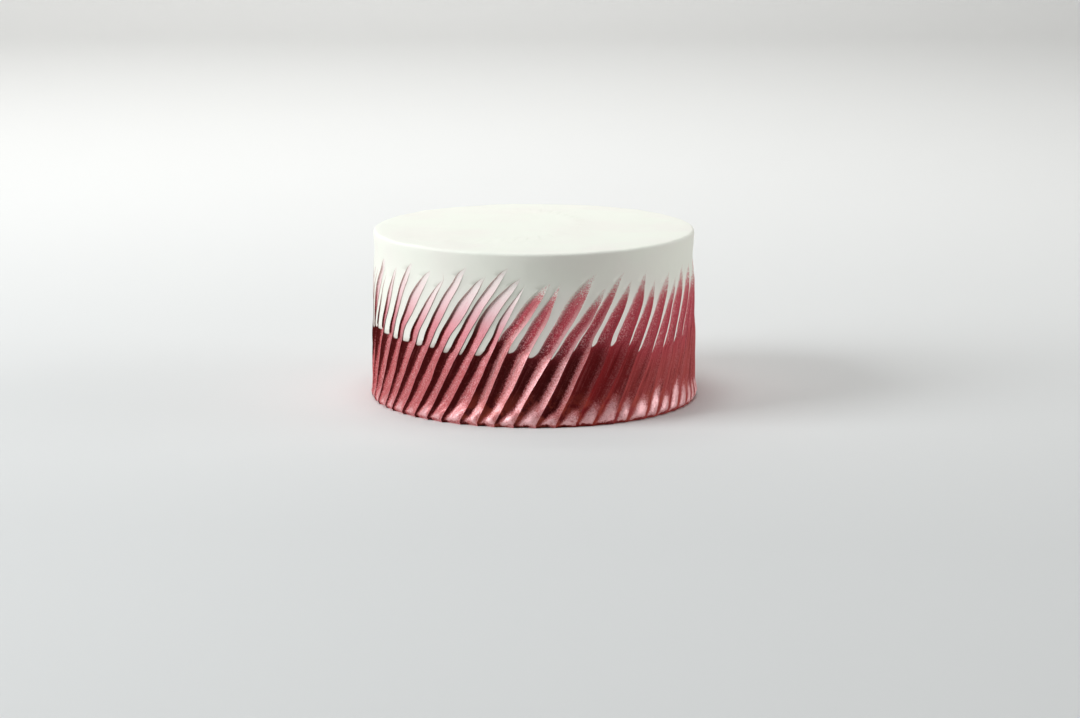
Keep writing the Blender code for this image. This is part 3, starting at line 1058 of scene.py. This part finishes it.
class CAKE_OT_frosting(bpy.types.Operator):
    """Make the frosting, with its knife strokes, in place of the plain cake"""

    bl_idname = "cake.frosting"
    bl_label = "Frosting"

    def execute(self, context):
        design = context.scene.cake_frosting
        strokes = all_strokes()
        rings, scoops = cake_rings(design, strokes)
        shape, ring_of, column_of = raised_cake(design, rings)
        mark_strokes(shape, ring_of, column_of, strokes, rings, scoops)
        piece = link_mesh("knife_stroke_frosting", shape, frosting_material(design))
        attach(piece, "root")
        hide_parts(CAKE_NODE)
        return {"FINISHED"}


def area_light(name, power, size, place, target, colour):
    """Add a square soft light that shines from a place at a target."""
    light = bpy.data.lights.new(name, "AREA")
    light.energy = power
    light.size = size
    light.color = colour
    lamp = bpy.data.objects.new(name, light)
    lamp.location = place
    aim = Vector(target) - Vector(place)
    lamp.rotation_euler = aim.to_track_quat("-Z", "Y").to_euler()
    bpy.context.scene.collection.objects.link(lamp)
    return lamp


def around(azimuth, elevation, distance):
    """A place seen from the cake at an azimuth and elevation in degrees."""
    turn, lift = math.radians(azimuth), math.radians(elevation)
    flat = distance * math.cos(lift)
    return (flat * math.sin(turn), -flat * math.cos(turn), distance * math.sin(lift))


def paper_sweep(material):
    """A floor that curves up into a backdrop, extruded sideways from its profile."""
    shape = bmesh.new()
    profile = [(SWEEP_NEAR, 0.0), (SWEEP_FAR, 0.0)]
    for step in range(1, SWEEP_STEPS + 1):
        turn = 0.5 * math.pi * step / SWEEP_STEPS
        profile.append((SWEEP_FAR + SWEEP_CURVE * math.sin(turn), SWEEP_CURVE * (1.0 - math.cos(turn))))
    profile.append((SWEEP_FAR + SWEEP_CURVE, SWEEP_TOP))
    verts = [shape.verts.new((-SWEEP_HALF, y, z)) for y, z in profile]
    edges = [shape.edges.new(pair) for pair in zip(verts, verts[1:])]
    made = bmesh.ops.extrude_edge_only(shape, edges=edges)
    moved = [item for item in made["geom"] if isinstance(item, bmesh.types.BMVert)]
    bmesh.ops.translate(shape, verts=moved, vec=(2.0 * SWEEP_HALF, 0.0, 0.0))
    shape.normal_update()
    if sum(face.normal.z for face in shape.faces) < 0.0:
        bmesh.ops.reverse_faces(shape, faces=shape.faces)
    return link_mesh("paper_sweep", shape, material)


class CAKE_OT_studio(bpy.types.Operator):
    """Make the paper sweep, the lights and the camera"""

    bl_idname = "cake.studio"
    bl_label = "Studio"

    def execute(self, context):
        studio = context.scene.cake_studio
        paper_sweep(studio_material("pale_paper", studio.paper))
        middle = (0.0, 0.0, 0.5 * CAKE_HIGH.z)
        key_place, fill_place, top_place = around(*KEY_FROM), around(*FILL_FROM), around(*TOP_FROM)
        area_light("key_light", studio.key_power, SIDE_SIZE, key_place, middle, KEY_COLOUR)
        area_light("fill_light", studio.fill_power, SIDE_SIZE, fill_place, middle, FILL_COLOUR)
        area_light("top_light", studio.top_power, TOP_SIZE, top_place, middle, TOP_COLOUR)
        power = studio.backdrop_power
        area_light("backdrop_light", power, BACKDROP_SIZE, BACKDROP_FROM, BACKDROP_AT, BACKDROP_COLOUR)
        world = bpy.data.worlds.new("soft_room")
        world.use_nodes = True
        sky = world.node_tree.nodes["Background"]
        sky.inputs["Color"].default_value = ROOM_COLOUR
        sky.inputs["Strength"].default_value = studio.ambient
        context.scene.world = world
        context.scene.view_settings.view_transform = "Standard"
        camera_data = bpy.data.cameras.new("front_camera")
        camera_data.lens = studio.lens
        camera_data.sensor_width = SENSOR_WIDTH_MM
        camera = bpy.data.objects.new("front_camera", camera_data)
        camera.location = CAMERA_PLACE
        camera.rotation_euler = (CAMERA_TILT, 0.0, 0.0)
        context.scene.collection.objects.link(camera)
        context.scene.camera = camera
        return {"FINISHED"}


class CAKE_PT_sidebar(bpy.types.Panel):
    """Lists the cake's operators and their settings"""

    bl_idname = "CAKE_PT_sidebar"
    bl_label = "Layer Cake"
    bl_space_type = "VIEW_3D"
    bl_region_type = "UI"
    bl_category = "Cake"

    def draw(self, context):
        layout = self.layout
        for operator, group in ((CAKE_OT_frosting, "cake_frosting"), (CAKE_OT_studio, "cake_studio")):
            layout.operator(operator.bl_idname)
            settings = getattr(context.scene, group)
            for name in settings.bl_rna.properties.keys():
                if name not in {"rna_type", "name"}:
                    layout.prop(settings, name)


CLASSES = (FrostingDesign, StudioDesign, CAKE_OT_frosting, CAKE_OT_studio, CAKE_PT_sidebar)


def register():
    for item in CLASSES:
        bpy.utils.register_class(item)
    bpy.types.Scene.cake_frosting = bpy.props.PointerProperty(type=FrostingDesign)
    bpy.types.Scene.cake_studio = bpy.props.PointerProperty(type=StudioDesign)


def unregister():
    del bpy.types.Scene.cake_studio
    del bpy.types.Scene.cake_frosting
    for item in reversed(CLASSES):
        bpy.utils.unregister_class(item)


def main():
    register()
    bpy.ops.cake.frosting()
    bpy.ops.cake.studio()


if __name__ == "__main__":
    main()
